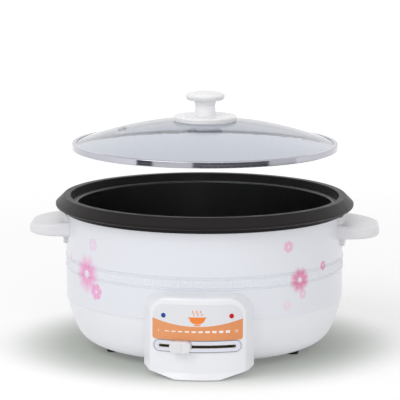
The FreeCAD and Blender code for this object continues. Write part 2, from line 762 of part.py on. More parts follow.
def makeFace():
    shoulder = "plateShoulder"
    plate = facePly("faceplate", [
        ("plateHalf - plateCorner", "plateLow"),
        ("plateHalf", "plateLow + plateCorner", "plateCorner"),
        ("plateHalf", "plateTop - " + shoulder),
        ("plateHalf - " + shoulder, "plateTop", shoulder),
        ("-(plateHalf - %s)" % shoulder, "plateTop"),
        ("-plateHalf", "plateTop - " + shoulder, shoulder),
        ("-plateHalf", "plateLow + plateCorner"),
        ("-(plateHalf - plateCorner)", "plateLow", "plateCorner"),
    ], "faceRadius + plateGap", "faceRadius + platePly")
    for side in ("-1", "1"):
        tool = radialCylinder("plate_bore", "lampRadius", "faceRadius - 5", "20", side)
        plate = combine("Cut", "faceplate_bored", plate, tool)
    keep(plate, "control_faceplate")

    bezel = facePly("bezel", stadium("bezelHalf", "bezelTall"), "faceRadius + plateGap",
                    "faceRadius + bezelPly")
    opening = facePly("bezel_slot", stadium("(slotHalf + 1)", "slotTall"), "faceRadius - 1",
                      "faceRadius + bezelPly + 1")
    keep(combine("Cut", "bezel_open", bezel, opening), "slot_bezel")

    rails = []
    front = "faceRadius - housingWall - cutGap"
    for low in ("slotHeight + slotTall / 2", "slotHeight - slotTall / 2 - railTall"):
        rail = facePly("rail", block("-slotHalf", "slotHalf", low, low + " + railTall"),
                       front + " - railThick", front)
        rails.append(rail)
    group("slot_rails", rails)

    for name, side in (("lamp_lens_blue", "-1"), ("lamp_lens_red", "1")):
        lens = radialCylinder(name, "lampRadius", "faceRadius + lampProud - lampLength", "lampLength", side)
        keep(lens, name)
    neons = []
    for side in ("-1", "1"):
        start = "faceRadius + lampProud - lampLength - neonLength"
        neons.append(radialCylinder("neon", "neonRadius", start, "neonLength", side))
    group("neon_lamps", neons)


# Lever, knob and thermostat

def onPivot(item):
    return place(item, y="-pivotOut", turn="leverRest")


def makeLever():
    under, reflector = heaterLevels()
    half = "leverWide / 2"
    low = "slotHeight - leverThick / 2"
    armPlan = block("-" + half, half, "-leverReach", "0")
    arm = paddedBody("lever_arm", "XY_Plane", armPlan, "leverThick", lift=low)
    eye = circle(sketchOn(arm, "Eye", "XY_Plane", low), "0", "0", "leverEye")
    extrude(arm, eye, "leverThick")
    bore = circle(sketchOn(arm, "EyeBore", "XY_Plane", low), "0", "0", "spindleRadius")
    extrude(arm, bore, "leverThick", "Pocket", back=True, name="EyeBoreCut")
    keep(onPivot(arm), "lever_arm")

    spindle = turnedBody("thermostat_spindle", [
        ("0", low + " - 2"),
        ("spindleRadius + 1.5", low + " - 2"),
        ("spindleRadius + 1.5", low),
        ("spindleRadius", low),
        ("spindleRadius", low + " + spindleRise"),
        ("0", low + " + spindleRise"),
    ])
    keep(onPivot(spindle), "thermostat_spindle")

    knob = paddedBody("slider_knob", "XZ_Plane",
                      rounded("-knobWide / 2", "knobWide / 2", "slotHeight - knobTall / 2",
                              "slotHeight + knobTall / 2", "knobCorner"),
                      "knobFront - knobBack", lift="knobBack")
    front = -worth("knobFront")
    roundOff(knob, "knobRounding", lambda edge: edge.BoundBox.YMax < front + 1e-4)
    ridge = outline(sketchOn(knob, "Ridge", "XY_Plane", "slotHeight - knobTall / 2 + knobRounding"), [
        ("-ridgeWide / 2", "-knobFront"),
        ("ridgeWide / 2", "-knobFront", domeRadius("ridgeProud", "ridgeWide / 2")),
    ])
    extrude(knob, ridge, "knobTall - 2 * knobRounding")
    socket = outline(sketchOn(knob, "Socket", "XZ_Plane", "knobBack"),
                     block("-leverWide / 2", "leverWide / 2", low, low + " + leverThick"))
    extrude(knob, socket, "leverReach - knobBack", "Pocket", back=True, name="SocketCut")
    keep(onPivot(knob), "slider_knob")

    ceiling = reflector + " - bracketThick"
    floor = "slotHeight + leverThick / 2 + thermostatGap"
    case = paddedBody("thermostat", "XY_Plane",
                      rounded("-thermostatWide / 2", "thermostatWide / 2", "-pivotOut - thermostatDeep / 2",
                              "-pivotOut + thermostatDeep / 2", "3"),
                      "%s - (%s)" % (ceiling, floor), lift=floor)
    bore = circle(sketchOn(case, "SpindleBore", "XY_Plane", floor), "0", "-pivotOut",
                  "spindleRadius + runningGap")
    extrude(case, bore, low + " + spindleRise + 1 - (%s)" % floor, "Pocket", back=True, name="SpindleBoreCut")
    keep(case, "thermostat")
    strap = box("thermostat_bracket", "bracketWide", "bracketDeep", "bracketThick", "0", "-pivotOut", ceiling)
    keep(strap, "thermostat_bracket")


# Handles

def makeHandles():
    grip = newBody("handle_grip")
    side = outline(sketchOn(grip, "SideView", "XZ_Plane"), [
        ("shellRadius - 20", "handleLow"),
        ("handleReach", "handleTipLow"),
        ("handleReach", "handleTipTop"),
        ("shellRadius - 20", "handleTop + 2"),
    ])
    extrude(grip, side, "gripHalf * 3", both=True)
    plan = sketchOn(grip, "PlanView", "XY_Plane")
    outline(plan, block("-shellRadius", "shellRadius * 2", "-shellRadius", "shellRadius"))
    corner = "handleReach - tipCorner"
    outline(plan, [
        ("handleReach", "-(gripHalf - tipCorner)", "tipCorner"),
        ("handleReach", "gripHalf - tipCorner"),
        (corner, "gripHalf", "tipCorner"),
        ("shellRadius - 20", "gripHalf"),
        ("shellRadius - 20", "-gripHalf"),
        (corner, "-gripHalf"),
    ])
    extrude(grip, plan, None, "Pocket", back=True, name="PlanCut")
    beyond = worth("shellRadius + cutGap")
    roundOff(grip, "handleRounding", lambda edge: edge.BoundBox.XMax > beyond and
             edge.BoundBox.YLength > worth("handleRounding"))

    face = "shellRadius + bracketPly"
    sleeve = turnedBody("handle_plate_sleeve", [
        ("shellRadius - 1", "bracketLow"),
        (face + " - bracketEdge", "bracketLow"),
        (face, "bracketLow + bracketEdge", "bracketEdge"),
        (face, "handleLow - gripFillet"),
        (face + " + gripFillet", "handleLow", "-gripFillet"),
        (face + " + gripFillet", "handleLow + 2"),
        (face, "handleLow + 2"),
        (face, "bracketTop - bracketEdge"),
        (face + " - bracketEdge", "bracketTop", "bracketEdge"),
        ("shellRadius - 1", "bracketTop"),
    ])
    mask = newBody("handle_plate_mask")
    shape = outline(sketchOn(mask, "Mask", "YZ_Plane"), [
        ("bracketLowHalf - 6", "bracketLow"),
        ("bracketLowHalf", "bracketLow + 4", "8"),
        ("bracketTopHalf", "handleTop"),
        ("bracketTopHalf", "bracketTop"),
        ("-bracketTopHalf", "bracketTop"),
        ("-bracketTopHalf", "handleTop"),
        ("-bracketLowHalf", "bracketLow + 4"),
        ("-(bracketLowHalf - 6)", "bracketLow", "8"),
    ])
    extrude(mask, shape, "handleReach")
    plate = combine("Common", "handle_plate", sleeve, mask)
    whole = combine("Fuse", "handle_whole", grip, plate)
    core = cylinder("handle_core", "shellRadius + plateGap", "shellTop * 2", z="-1")
    shaped = combine("Cut", "handle_shaped", whole, core)
    pilots = []
    for side in ("-handleScrewHalf", "handleScrewHalf"):
        pilots.append(pilotHole(side))
    for pilot in pilots:
        shaped = combine("Cut", "handle_drilled", shaped, pilot)
    right = keep(shaped, "handle_right")
    left = doc.addObject("Part::Mirroring", "handle_left")
    left.Source = right
    left.Normal = Vector(1, 0, 0)
    left.Base = Vector(0, 0, 0)
    doc.recompute()
    keep(left, "handle_left")

    screws = []
    for turn, facing in (("90", "1"), ("-90", "-1")):
        for side in ("-handleScrewHalf", "handleScrewHalf"):
            item = screw("handle_screw", "handleScrewLength")
            place(item, x="(shellRadius - shellWall - screwSeat) * %s" % facing, y=side,
                  z="handleScrewHeight",
                  turn=turn, axis=(0, 1, 0))
            screws.append(item)
    group("handle_screws", screws)


def pilotHole(side):
    return cylinder("handle_pilot", "screwRadius", "handleScrewLength + 1",
                    x="shellRadius - shellWall - screwSeat",
                    y=side, z="handleScrewHeight", turn="90", axis=(0, 1, 0))


# Inlet and wiring

def makeInlet():
    low = "inletHeight - inletTall / 2"
    body = newBody("inlet_socket")
    outer = outline(sketchOn(body, "Outside", "XZ_Plane", "-inletOut"),
                    rounded("-inletWide / 2", "inletWide / 2", low, low + " + inletTall", "4"))
    extrude(body, outer, "inletDeep")
    inner = outline(sketchOn(body, "Recess", "XZ_Plane", "-inletOut"),
                    rounded("-inletWide / 2 + inletWall", "inletWide / 2 - inletWall", low + " + inletWall",
                            low + " + inletTall - inletWall", "2"))
    extrude(body, inner, "inletRecess", "Pocket", back=True, name="RecessCut")
    for side in ("-inletPinHalf", "inletPinHalf"):
        hole = circle(sketchOn(body, "PinHole", "XZ_Plane", "-inletOut"), side, "inletHeight",
                      "inletPinRadius")
        extrude(body, hole, "inletDeep + 1", "Pocket", back=True, name="PinHoleCut")
    keep(body, "inlet_socket")
    pins = []
    for side in ("-inletPinHalf", "inletPinHalf"):
        pins.append(cylinder("inlet_pin", "inletPinRadius", "inletPinLength", x=side,
                             y="inletOut - 4", z="inletHeight", turn="90", axis=(1, 0, 0)))
    group("inlet_pins", pins)


def wireAlong(points, radius, bend):
    # round wire through points, its corners eased by tangent arcs
    edges = []
    start = points[0]
    for before, corner, after in zip(points, points[1:], points[2:]):
        way = (corner - before).normalize()
        onward = (after - corner).normalize()
        turn = way.getAngle(onward)
        setback = bend * math.tan(turn / 2)
        enter = corner - way * setback
        leave = corner + onward * setback
        inward = (onward - way).normalize()
        middle = corner + inward * (bend / math.cos(turn / 2) - bend)
        edges.append(Part.LineSegment(start, enter).toShape())
        edges.append(Part.Arc(enter, middle, leave).toShape())
        start = leave
    edges.append(Part.LineSegment(start, points[-1]).toShape())
    path = Part.Wire(edges)
    section = Part.Wire([Part.Circle(points[0], points[1] - points[0], radius).toShape()])
    return path.makePipeShell([section], True, False)


def makeWiring():
    under, reflector = heaterLevels()
    panTop = "bottomHeight + baseWall + panThick"
    carrier = box("terminal_block", "blockWide", "blockDeep", "blockTall", "0", "blockBack", panTop)
    keep(carrier, "terminal_block")

    pinX = worth("elementRing * cos(%s)" % pinAngles()[0])
    pinY = worth("elementRing * sin(%s)" % pinAngles()[0])
    pinZ = worth(under + " - pinLength")
    level = worth(panTop) + worth("blockTall") / 2
    blockX = worth("blockWide") / 2
    back = worth("blockBack + blockDeep / 2")
    front = worth("blockBack - blockDeep / 2")
    tabY = worth("inletOut - 4 - inletPinLength")
    inletX = worth("inletPinHalf")
    inletZ = worth("inletHeight")
    radius = worth("wireRadius")
    wires = []
    for side in (-1, 1):
        wires.append(wireAlong([
            Vector(side * inletX, tabY, inletZ),
            Vector(side * inletX, tabY - 7, inletZ),
            Vector(side * inletX, back + 7, level),
            Vector(side * inletX, back, level),
        ], radius, 4))
        wires.append(wireAlong([
            Vector(side * pinX, pinY, pinZ),
            Vector(side * pinX, pinY, level),
            Vector(side * blockX, pinY, level),
        ], radius, 4))
    feedX = worth("thermostatWide") / 4
    rear = worth("thermostatDeep / 2 - pivotOut")
    top = worth(reflector) - 7
    run = worth("wireRun")
    wires.append(wireAlong([
        Vector(feedX, front, level),
        Vector(feedX, rear + run, level),
        Vector(feedX, rear + run, top),
        Vector(feedX, rear, top),
    ], radius, 5))
    loom = doc.addObject("Part::Feature", "internal_wires")
    loom.Shape = Part.makeCompound(wires)
    keep(loom, "internal_wires")

    fuse = cylinder("thermal_fuse", "fuseRadius", "fuseLength", x="fuseOut", y="-fuseLength / 2",
                    z=reflector + " - fuseRadius", turn="-90", axis=(1, 0, 0))
    keep(fuse, "thermal_fuse")
    clip = newBody("fuse_clip")
    outer = "fuseRadius + clipThick"
    centre = reflector + " - fuseRadius"
    sketch = outline(sketchOn(clip, "ClipSection", "XZ_Plane", "-3"), [
        ("fuseOut + fuseRadius", reflector),
        ("fuseOut + fuseRadius", centre),
        ("fuseOut - fuseRadius", centre, "-fuseRadius"),
        ("fuseOut - fuseRadius", reflector),
        ("fuseOut - (%s)" % outer, reflector),
        ("fuseOut - (%s)" % outer, centre),
        ("fuseOut + (%s)" % outer, centre, outer),
        ("fuseOut + (%s)" % outer, reflector),
    ])
    extrude(clip, sketch, "6")
    keep(clip, "fuse_clip")


# Lid

def domeRadius(rise, half):
    # radius of the arc that stands rise high over a chord of twice half
    return "(((%s) * (%s) + (%s) * (%s)) / (2 * (%s)))" % (rise, rise, half, half, rise)


def glassArc():
    return domeRadius("glassRise + rimSteel", "lidRadius - rimCatch")


def lidLevels():
    apex = "lidHover + rimTall + glassRise"
    seat = "lidHover + rimTall - rimSteel"
    return apex, seat


def domeDrop(radius):
    # how far the outer face of the glass has fallen at a distance from the axis
    return "(%s - sqrt(%s * %s - (%s) * (%s)))" % (glassArc(), glassArc(), glassArc(), radius, radius)


def makeLid():
    apex, seat = lidLevels()
    edge = "lidRadius - rimSteel"
    inside = "lidRadius - rimCatch"
    glass = turnedBody("lid_glass_blank", [
        ("knobHole", apex + " - glassPly"),
        (inside, seat + " - glassPly", "-" + glassArc()),
        (edge, seat + " - glassPly"),
        (edge, seat),
        (inside, seat),
        ("knobHole", apex, glassArc()),
    ])
    lean = "asin(ventRadius / %s)" % glassArc()
    across = math.radians(worth("ventTurn"))
    spot = {
        "x": "ventRadius * cos(ventTurn)", "y": "ventRadius * sin(ventTurn)",
        "z": "%s - %s" % (apex, domeDrop("ventRadius")), "turn": lean,
        "axis": (-math.sin(across), math.cos(across), 0),
    }
    bore = newBody("vent_bore")
    revolve(bore, [
        ("0", "-glassPly * 2"), ("eyeletBore + eyeletWall + cutGap", "-glassPly * 2"),
        ("eyeletBore + eyeletWall + cutGap", "glassPly"), ("0", "glassPly"),
    ])
    keep(combine("Cut", "lid_glass_pierced", glass, place(bore, **spot)), "lid_glass")

    flange = "eyeletBore + eyeletWall + eyeletFlange"
    tube = "eyeletBore + eyeletWall"
    under = "-(glassPly + cutGap)"
    eyelet = turnedBody("vent_eyelet", [
        ("eyeletBore", under + " - eyeletWall"),
        (flange, under + " - eyeletWall"),
        (flange, under),
        (tube, under),
        (tube, "0"),
        (flange, "0"),
        ("%s - eyeletWall" % flange, "eyeletWall", "eyeletWall"),
        ("eyeletBore", "eyeletWall"),
    ])
    keep(place(eyelet, **spot), "vent_eyelet")

    lip = "lidRadius - rimCatch"
    rim = turnedBody("lid_rim", [
        (lip, "lidHover"),
        ("lidRadius - rimRounding", "lidHover"),
        ("lidRadius", "lidHover + rimRounding", "rimRounding"),
        ("lidRadius", "lidHover + rimTall - rimRounding"),
        ("lidRadius - rimRounding", "lidHover + rimTall", "rimRounding"),
        (lip, "lidHover + rimTall"),
        (lip, seat),
        (edge, seat),
        (edge, "lidHover + rimSteel"),
        (lip, "lidHover + rimSteel"),
    ])
    keep(rim, "lid_rim")


def makeKnob():
    apex, seat = lidLevels()
    top = apex + " + collarTall - " + domeDrop("collarRadius")
    # the collar stands on its edge alone, a little clear of the glass inside that
    relieved = domeRadius(domeDrop("collarRadius") + " + collarRelief", "collarRadius - knobHole")
    collar = turnedBody("knob_collar", [
        ("knobHole", apex + " + collarRelief"),
        ("collarRadius", "%s - %s" % (apex, domeDrop("collarRadius")), "-" + relieved),
        ("collarRadius", top + " - collarRounding"),
        ("collarRadius - collarRounding", top, "collarRounding"),
        ("knobHole", top),
    ])
    keep(collar, "knob_collar")

    under = top + " + neckTall"
    bore = top + " + knobBoreDeep"
    grip = turnedBody("knob_grip", [
        ("knobScrewRadius", top),
        ("neckRadius + neckFlare", top),
        ("neckRadius", top + " + neckFlare", "-neckFlare"),
        ("neckWaist", top + " + neckTall * 0.6"),
        ("neckRadius", under + " - neckFlare"),
        ("neckRadius + neckFlare", under, "-neckFlare"),
        ("capRadius - capRounding / 2", under),
        ("capRadius", under + " + capTall / 2", "capTall / 2"),
        ("capRadius - capRounding", under + " + capTall - capCrown", "capTall / 2"),
        ("0", under + " + capTall", domeRadius("capCrown", "capRadius - capRounding")),
        ("0", bore),
        ("knobScrewRadius", bore),
    ])
    keep(grip, "knob_grip")

    inner = "(%s - glassPly)" % glassArc()
    fall = "(%s - sqrt(%s * %s - washerRadius * washerRadius))" % (inner, inner, inner)
    low = "%s - glassPly - %s - washerThick" % (apex, fall)
    washer = turnedBody("knob_washer", [
        ("knobScrewRadius", low),
        ("washerRadius", low),
        ("washerRadius", low + " + washerThick"),
        ("knobScrewRadius", apex + " - glassPly", inner),
    ])
    keep(washer, "knob_washer")
    fixing = turnedBody("knob_screw", [
        ("0", low + " - headThick"),
        ("knobScrewHead", low + " - headThick"),
        ("knobScrewHead", low),
        ("knobScrewRadius", low),
        ("knobScrewRadius", bore),
        ("0", bore),
    ])
    keep(fixing, "knob_screw")


# Building, checking and writing

def build():
    makeShell()
    makeBase()
    makeRim()
    makePot()
    makeHeater()
    makePan()
    makeFeet()
    makeHousing()
    makeChin()
    makeFace()
    makeLever()
    makeHandles()
    makeInlet()
    makeWiring()
    makeLid()
    makeKnob()
    doc.recompute()


def check():
    for item in doc.Objects:
        if "Invalid" in item.State or "Error" in item.State:
            raise ValueError("%s failed: %s" % (item.Label, item.State))
    for label, item in nodes.items():
        shape = item.Shape
        if shape.isNull() or not shape.isValid() or not shape.Solids:
            raise ValueError(label + " has no valid solid")


def write():
    os.makedirs("parts", exist_ok=True)
    for label, item in nodes.items():
        item.Shape.exportStep("parts/%s.step" % label)
        print(label, len(item.Shape.Solids), round(item.Shape.Volume / 1000, 2))


build()
check()
write()
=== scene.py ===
import math

import bmesh
import bpy
from mathutils import Matrix, Vector


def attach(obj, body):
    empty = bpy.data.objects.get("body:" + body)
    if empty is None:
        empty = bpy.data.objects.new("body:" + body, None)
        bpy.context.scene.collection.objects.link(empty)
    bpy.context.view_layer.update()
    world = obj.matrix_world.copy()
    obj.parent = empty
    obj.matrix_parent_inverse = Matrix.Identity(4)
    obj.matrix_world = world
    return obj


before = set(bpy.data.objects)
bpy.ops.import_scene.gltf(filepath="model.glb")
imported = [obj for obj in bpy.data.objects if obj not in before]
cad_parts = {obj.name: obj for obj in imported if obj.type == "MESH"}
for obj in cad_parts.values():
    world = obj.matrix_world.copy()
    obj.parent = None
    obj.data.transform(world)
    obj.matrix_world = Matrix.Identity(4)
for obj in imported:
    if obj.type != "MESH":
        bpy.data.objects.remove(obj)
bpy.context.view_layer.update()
print("frame loaded")

mm = 0.001

# outer radius of the shell, radius of the curved front about the lever's pivot, and how far
# the pivot lies in front of the pot's axis
shellRadius = 0.1545
faceRadius = 0.108
pivotOut = 0.078


# small helpers for shader trees

def srgb(red, green, blue):
    def linear(value):
        value = value / 255
        return value / 12.92 if value <= 0.04045 else ((value + 0.055) / 1.055) ** 2.4
    return (linear(red), linear(green), linear(blue), 1.0)


def add(tree, kind, inputs=None, **settings):
    node = tree.nodes.new(kind)
    for name, value in settings.items():
        setattr(node, name, value)
    for name, value in (inputs or {}).items():
        if isinstance(value, bpy.types.NodeSocket):
            tree.links.new(value, node.inputs[name])
        else:
            node.inputs[name].default_value = value
    return node


def maths(tree, operation, first, second=0.0, third=0.0):
    return add(tree, "ShaderNodeMath", {0: first, 1: second, 2: third}, operation=operation).outputs[0]


def blendColour(tree, factor, first, second):
    mix = add(tree, "ShaderNodeMix", {0: factor, 6: first, 7: second}, data_type="RGBA")
    return mix.outputs[2]


def ramp(tree, value, low, high, lowOut=0.0, highOut=1.0, smooth=True):
    return add(tree, "ShaderNodeMapRange", {0: value, 1: low, 2: high, 3: lowOut, 4: highOut},
               interpolation_type="SMOOTHSTEP" if smooth else "LINEAR").outputs[0]


def newMaterial(name):
    material = bpy.data.materials.new(name)
    material.use_nodes = True
    tree = material.node_tree
    shader = tree.nodes["Principled BSDF"]
    place = add(tree, "ShaderNodeTexCoord").outputs["Object"]
    return material, tree, shader, place


def noise(tree, place, scale, detail=3.0, rough=0.5, stretch=None):
    if stretch:
        place = add(tree, "ShaderNodeMapping", {"Vector": place, "Scale": stretch}).outputs[0]
    return add(tree, "ShaderNodeTexNoise", {"Vector": place, "Scale": scale, "Detail": detail,
                                            "Roughness": rough}).outputs[0]


def bump(tree, shader, height, strength, distance):
    node = add(tree, "ShaderNodeBump", {"Height": height, "Strength": strength, "Distance": distance})
    tree.links.new(node.outputs[0], shader.inputs["Normal"])


def surface(name, colour, roughness, metal=0.0, coat=0.0, vary=0.03, grain=60.0, relief=0.0,
            reliefScale=900.0, stretch=None, spread=0.06, specular=0.5):
    # one finish: a colour that drifts a little, roughness that drifts with it and a fine relief
    material, tree, shader, place = newMaterial(name)
    drift = noise(tree, place, grain, 4.0, 0.55, stretch)
    darker = tuple(c * (1 - vary) for c in colour[:3]) + (1.0,)
    lighter = tuple(min(1.0, c * (1 + vary)) for c in colour[:3]) + (1.0,)
    tree.links.new(blendColour(tree, drift, darker, lighter), shader.inputs["Base Color"])
    tree.links.new(ramp(tree, drift, 0.3, 0.7, roughness - spread / 2, roughness + spread / 2),
                   shader.inputs["Roughness"])
    shader.inputs["Metallic"].default_value = metal
    shader.inputs["Coat Weight"].default_value = coat
    shader.inputs["Coat Roughness"].default_value = 0.08
    shader.inputs["Specular IOR Level"].default_value = specular
    if relief:
        bump(tree, shader, noise(tree, place, reliefScale, 2.0, 0.5, stretch), relief, 0.0004)
    return material


# finishes

finishes = {
    "whiteHousing": dict(colour=srgb(236, 237, 241), roughness=0.34, coat=0.25, vary=0.012,
                         relief=0.03, reliefScale=260),
    "whiteHandle": dict(colour=srgb(225, 225, 228), roughness=0.36, coat=0.2, vary=0.012,
                        relief=0.03, reliefScale=260),
    "whiteKnob": dict(colour=srgb(240, 240, 242), roughness=0.28, coat=0.3, vary=0.008,
                      relief=0.02, reliefScale=220),
    "blackRim": dict(colour=srgb(24, 20, 20), roughness=0.4, vary=0.06, relief=0.03,
                     reliefScale=900, specular=0.17),
    "darkPot": dict(colour=srgb(9, 9, 10), roughness=0.34, vary=0.1, relief=0.04,
                    reliefScale=1400, grain=600, specular=0.6),
    "sheetSteel": dict(colour=srgb(190, 190, 192), roughness=0.38, metal=1.0, vary=0.06,
                       relief=0.06, stretch=(1, 14, 1)),
    "screwSteel": dict(colour=srgb(176, 178, 182), roughness=0.3, metal=1.0, vary=0.08,
                       relief=0.08, grain=400),
    "leverSteel": dict(colour=srgb(200, 202, 206), roughness=0.24, metal=1.0, vary=0.05,
                       relief=0.05, stretch=(14, 1, 1)),
    "rubberBlack": dict(colour=srgb(34, 34, 35), roughness=0.78, vary=0.12, relief=0.3,
                        reliefScale=1800, specular=0.3),
    "castAlloy": dict(colour=srgb(166, 167, 170), roughness=0.5, metal=1.0, vary=0.08,
                      relief=0.5, reliefScale=700),
    "heatedSheath": dict(colour=srgb(96, 88, 82), roughness=0.45, metal=1.0, vary=0.2, relief=0.1, grain=90),
    "thermostatClay": dict(colour=srgb(206, 200, 186), roughness=0.66, vary=0.05, relief=0.3,
                           reliefScale=1200),
    "wovenSleeve": dict(colour=srgb(214, 208, 194), roughness=0.85, vary=0.1, relief=0.8,
                        reliefScale=2600, specular=0.2),
    "glazedPorcelain": dict(colour=srgb(232, 228, 216), roughness=0.22, coat=0.5, vary=0.03, relief=0.04),
    "wireRed": dict(colour=srgb(160, 36, 30), roughness=0.5, vary=0.05, relief=0.05),
    "inletBlack": dict(colour=srgb(30, 30, 31), roughness=0.5, vary=0.1, relief=0.25, reliefScale=1500),
    "platedBrass": dict(colour=srgb(206, 178, 112), roughness=0.25, metal=1.0, vary=0.05, relief=0.04),
    "bezelSilver": dict(colour=srgb(218, 219, 230), roughness=0.16, metal=1.0, vary=0.01, relief=0.02),
    "railBrass": dict(colour=srgb(150, 128, 98), roughness=0.32, metal=1.0, vary=0.06, relief=0.05),
    "edgeSteel": dict(colour=srgb(112, 110, 116), roughness=0.25, metal=1.0, vary=0.05),
    "liningSteel": dict(colour=srgb(176, 164, 146), roughness=0.3, metal=1.0, vary=0.05),
    "printWhite": dict(colour=srgb(246, 240, 236), roughness=0.4, vary=0.01),
    "printOrange": dict(colour=srgb(240, 132, 44), roughness=0.4, vary=0.02),
    "neonGlow": dict(colour=srgb(230, 190, 170), roughness=0.2, vary=0.03),
}
made = {name: surface(name, **settings) for name, settings in finishes.items()}


# white shell with printed blossoms

blossomPrint = {
    # angle from the front in degrees, height and radius in mm, petals, turn, depth of the notches,
    # strength, softness of the edge, tint
    "spots": [
        (-49.4, 129.7, 8.4, 4, 0.6, 0.26, 0.40, 0.12, (242, 168, 226)),
        (-53.8, 95.6, 26.0, 9, 0.2, 0.10, 0.92, 0.70, (240, 122, 194)),
        (-47.2, 78.6, 10.4, 6, 0.9, 0.18, 0.82, 0.22, (240, 126, 198)),
        (-70.2, 108.6, 4.6, 5, 0.1, 0.20, 0.62, 0.20, (244, 156, 214)),
        (38.1, 133.8, 7.7, 6, 0.7, 0.14, 0.74, 0.30, (238, 146, 194)),
        (59.0, 105.9, 6.4, 5, 0.2, 0.16, 0.82, 0.30, (226, 106, 158)),
        (44.2, 95.5, 17.0, 8, 0.5, 0.12, 0.95, 0.55, (226, 98, 154)),
        (45.9, 79.4, 6.2, 5, 1.1, 0.20, 0.62, 0.25, (240, 168, 206)),
        (37.7, 69.3, 6.8, 6, 0.3, 0.16, 0.42, 0.25, (246, 194, 222)),
    ],
    "white": srgb(229, 231, 238),
}


def blossomGroup():
    # mask of one blossom on the round shell: lobed edge, streaked petals, pale middle
    tree = bpy.data.node_groups.new("blossomShape", "ShaderNodeTree")
    face = tree.interface
    face.new_socket("Arc", in_out="INPUT", socket_type="NodeSocketFloat")
    face.new_socket("Height", in_out="INPUT", socket_type="NodeSocketFloat")
    for name in ("Centre Arc", "Centre Height", "Radius", "Petals", "Turn", "Depth", "Strength", "Softness"):
        face.new_socket(name, in_out="INPUT", socket_type="NodeSocketFloat")
    face.new_socket("Mask", in_out="OUTPUT", socket_type="NodeSocketFloat")
    given = tree.nodes.new("NodeGroupInput").outputs
    result = tree.nodes.new("NodeGroupOutput")
    across = maths(tree, "SUBTRACT", given["Arc"], given["Centre Arc"])
    up = maths(tree, "SUBTRACT", given["Height"], given["Centre Height"])
    squared = maths(tree, "ADD", maths(tree, "MULTIPLY", across, across), maths(tree, "MULTIPLY", up, up))
    reach = maths(tree, "DIVIDE", maths(tree, "SQRT", squared), given["Radius"])
    around = maths(tree, "ADD", maths(tree, "ARCTAN2", up, across), given["Turn"])
    lobes = maths(tree, "ABSOLUTE", maths(tree, "COSINE", maths(tree, "MULTIPLY", around, maths(
        tree, "MULTIPLY", given["Petals"], 0.5))))
    notch = maths(tree, "POWER", lobes, 0.6)
    frill = maths(tree, "MULTIPLY", maths(tree, "SINE", maths(tree, "MULTIPLY", around, 31.0)), 0.025)
    dent = maths(tree, "MULTIPLY", maths(tree, "SUBTRACT", 1.0, notch), given["Depth"])
    edge = maths(tree, "ADD", maths(tree, "SUBTRACT", 0.98, dent), frill)
    inside = maths(tree, "DIVIDE", maths(tree, "SUBTRACT", edge, reach), given["Softness"])
    mask = ramp(tree, inside, 0.0, 1.0)
    wave = maths(tree, "SINE", maths(tree, "MULTIPLY_ADD", around, 43.0, maths(tree, "MULTIPLY", reach, 3.0)))
    streaks = maths(tree, "MULTIPLY_ADD", wave, 0.12, 0.82)
    seams = maths(tree, "MULTIPLY_ADD", maths(tree, "POWER", lobes, 0.35), 0.22, 0.78)
    star = maths(tree, "MULTIPLY_ADD", lobes, 0.09, 0.06)
    heart = ramp(tree, maths(tree, "SUBTRACT", reach, star), 0.0, 0.09)
    streaked = maths(tree, "MULTIPLY", mask, streaks)
    body = maths(tree, "MULTIPLY", streaked, maths(tree, "MULTIPLY", seams, heart))
    tree.links.new(maths(tree, "MULTIPLY", body, given["Strength"]), result.inputs["Mask"])
    return tree


def shellPrint():
    material, tree, shader, place = newMaterial("whiteShellPrinted")
    parts = add(tree, "ShaderNodeSeparateXYZ", {0: place}).outputs
    angle = maths(tree, "ARCTAN2", parts["X"], maths(tree, "MULTIPLY", parts["Y"], -1.0))
    arc = maths(tree, "MULTIPLY", angle, shellRadius / mm)
    height = maths(tree, "MULTIPLY", parts["Z"], 1 / mm)
    # the print is on the outer face only, not on the inside of the wall
    across = maths(tree, "MULTIPLY", parts["X"], parts["X"])
    reach = maths(tree, "ADD", across, maths(tree, "MULTIPLY", parts["Y"], parts["Y"]))
    outside = maths(tree, "GREATER_THAN", reach, (shellRadius - 1.0 * mm) ** 2)
    drift = noise(tree, place, 9.0, 3.0)
    white = blossomPrint["white"]
    shade = tuple(c * 0.985 for c in white[:3]) + (1.0,)
    colour = blendColour(tree, drift, shade, white)
    shape = blossomGroup()
    for degrees, level, radius, petals, turn, depth, strength, soft, tint in blossomPrint["spots"]:
        spot = add(tree, "ShaderNodeGroup", node_tree=shape)
        values = {
            "Centre Arc": math.radians(degrees) * shellRadius / mm, "Centre Height": level, "Radius": radius,
            "Petals": petals, "Turn": turn, "Depth": depth, "Strength": strength, "Softness": soft,
        }
        for name, value in values.items():
            spot.inputs[name].default_value = value
        tree.links.new(arc, spot.inputs["Arc"])
        tree.links.new(height, spot.inputs["Height"])
        inked = maths(tree, "MULTIPLY", spot.outputs["Mask"], outside)
        colour = blendColour(tree, inked, colour, srgb(*tint))
    tree.links.new(colour, shader.inputs["Base Color"])
    tree.links.new(ramp(tree, drift, 0.3, 0.7, 0.22, 0.27), shader.inputs["Roughness"])
    shader.inputs["Coat Weight"].default_value = 0.3
    shader.inputs["Coat Roughness"].default_value = 0.06
    bump(tree, shader, noise(tree, place, 260.0, 2.0), 0.03, 0.0004)
    return material


# panel print: pale grey above, an orange band with a hollow upper edge below

panelPrint = {
    "grey": srgb(226, 227, 231), "orange": srgb(229, 153, 101), "orangeDeep": srgb(226, 145, 90),
    "bandMiddle": 58.6, "bandRise": 7.6, "halfWidth": 48.0,
}


